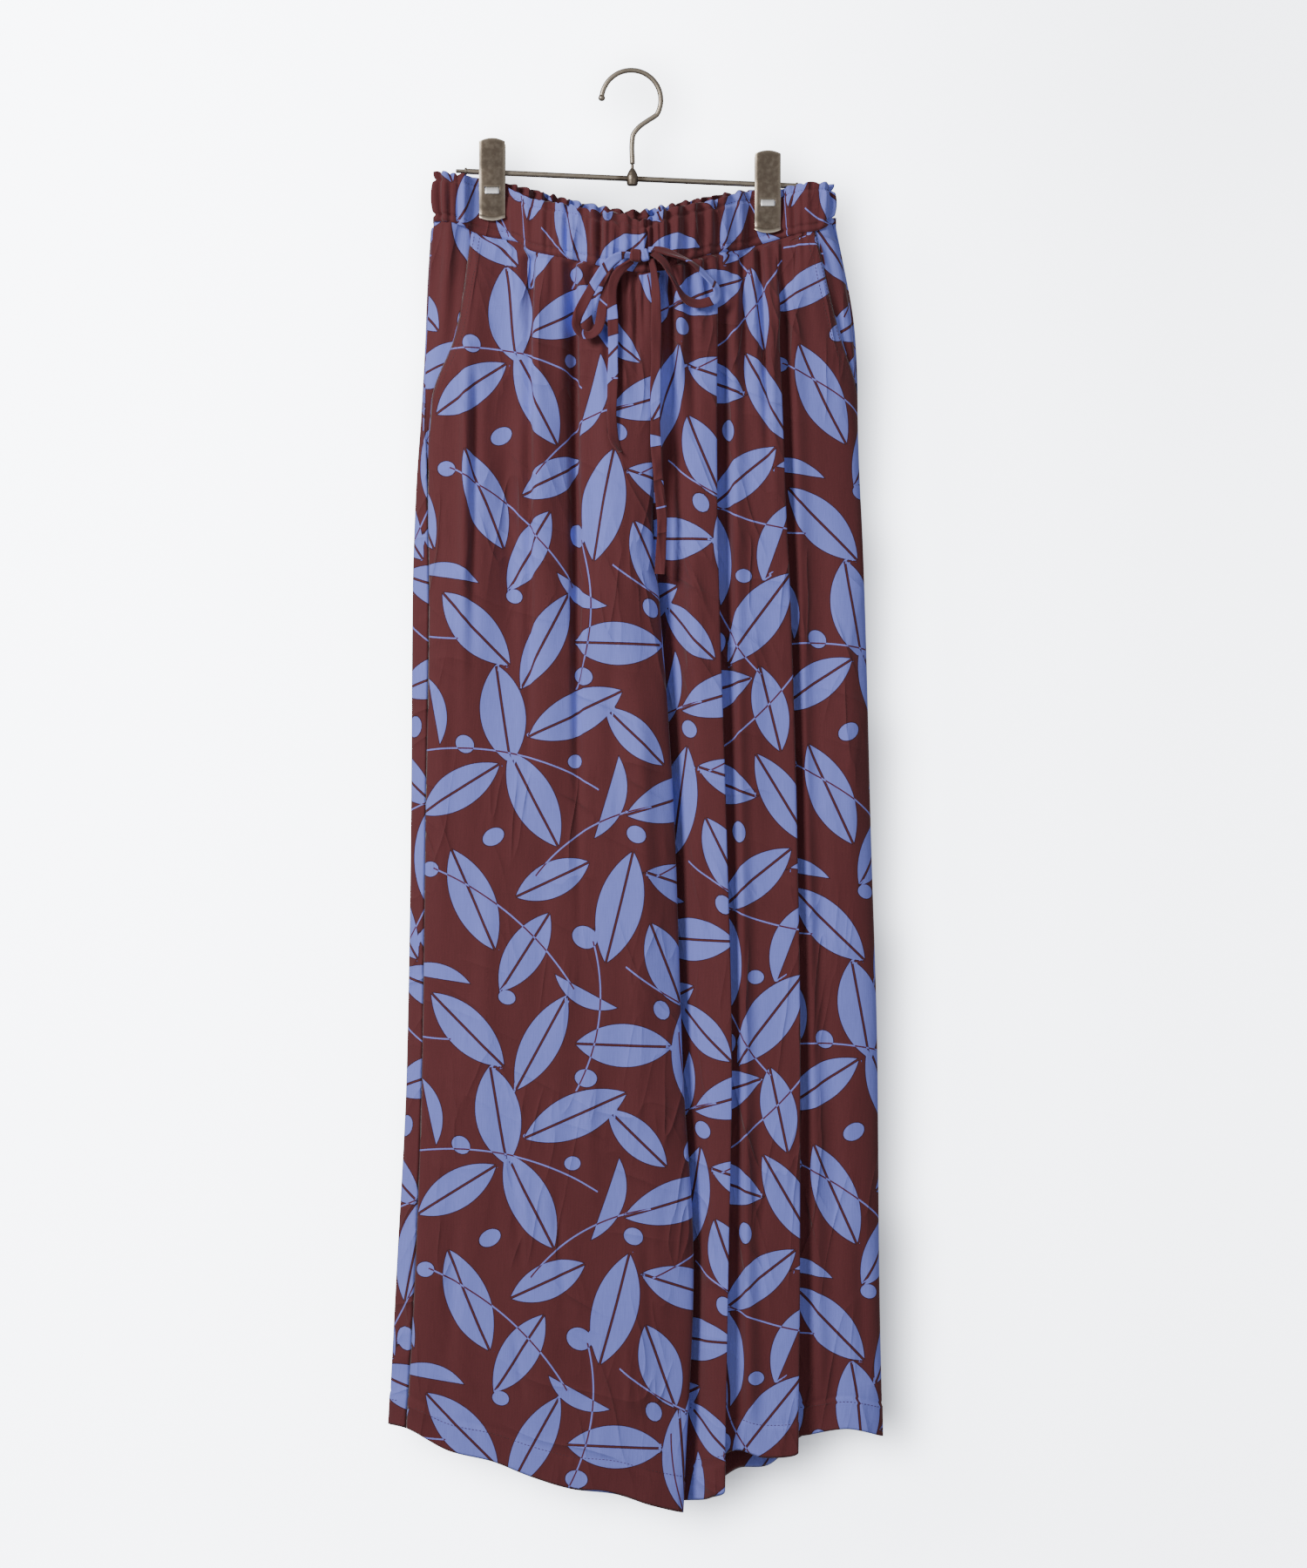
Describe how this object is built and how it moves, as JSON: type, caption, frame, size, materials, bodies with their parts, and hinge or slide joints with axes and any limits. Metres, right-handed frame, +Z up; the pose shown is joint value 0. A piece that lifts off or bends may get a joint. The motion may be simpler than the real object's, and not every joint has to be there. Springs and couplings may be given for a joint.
{
  "type": "pull-on trousers on a clip hanger",
  "caption": "Wide-leg pull-on trousers with a gathered drawstring waist and slanted side pockets, hanging from a metal clip hanger.",
  "frame": {"origin": "inside top of the hanger's hook, where a rail carries it", "axes": "+X to the right of someone who looks at the front, the front faces -Y, +Z up"},
  "size_m": [0.3979, 0.0769, 1.157],
  "materials": {
    "printed_cloth": "matte, soft vertical slub, printed in dark red and blue",
    "antique_brass": "dark antique, worn bright at the edges",
    "bright_steel": "satin"
  },
  "bodies": {
    "root": {"front_leg_left": "printed_cloth", "front_leg_right": "printed_cloth", "back_leg_left": "printed_cloth", "back_leg_right": "printed_cloth", "pocket_facing_left": "printed_cloth", "pocket_facing_right": "printed_cloth", "waistband_front": "printed_cloth", "waistband_back": "printed_cloth", "drawstring_knot": "printed_cloth", "drawstring_loop_left": "printed_cloth", "drawstring_loop_right": "printed_cloth", "drawstring_tail_left": "printed_cloth", "drawstring_tail_right": "printed_cloth", "hanger_hook": "antique_brass", "hanger_hub": "antique_brass", "hanger_bar": "antique_brass", "clip_left_front": "antique_brass", "clip_left_back": "antique_brass", "clip_left_spring": "bright_steel", "clip_right_front": "antique_brass", "clip_right_back": "antique_brass", "clip_right_spring": "bright_steel"}
  },
  "joints": []
}
